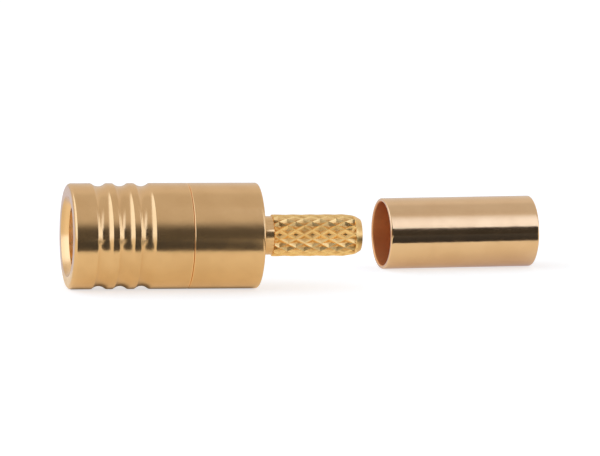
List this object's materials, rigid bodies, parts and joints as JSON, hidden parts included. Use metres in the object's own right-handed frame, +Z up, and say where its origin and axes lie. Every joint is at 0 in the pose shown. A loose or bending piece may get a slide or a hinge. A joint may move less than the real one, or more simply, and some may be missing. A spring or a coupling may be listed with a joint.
{
  "type": "smb connector",
  "caption": "Gold-plated coaxial push-on crimp plug with grooved shell, slotted spring collet, knurled crimp post and a loose crimp ferrule lying beside it.",
  "frame": {"origin": "middle of the footprint of the plug and its ferrule, on the surface they lie on", "axes": "+X from the mating face along the plug's axis towards the crimp post, +Z up"},
  "size_m": [0.0286, 0.013, 0.006],
  "materials": {
    "gold_plate": "polished gold plate over turned brass",
    "ferrule_gold": "polished gold plate over drawn copper tube",
    "spring_gold": "gold plate over sprung copper alloy",
    "fluoropolymer": "waxy off-white fluoropolymer"
  },
  "bodies": {
    "root": {"front_shell": "gold_plate", "spring_collet": "spring_gold", "front_insulator": "fluoropolymer", "centre_contact": "spring_gold", "rear_insulator": "fluoropolymer", "crimp_body": "gold_plate", "crimp_ferrule": "ferrule_gold"}
  },
  "joints": []
}
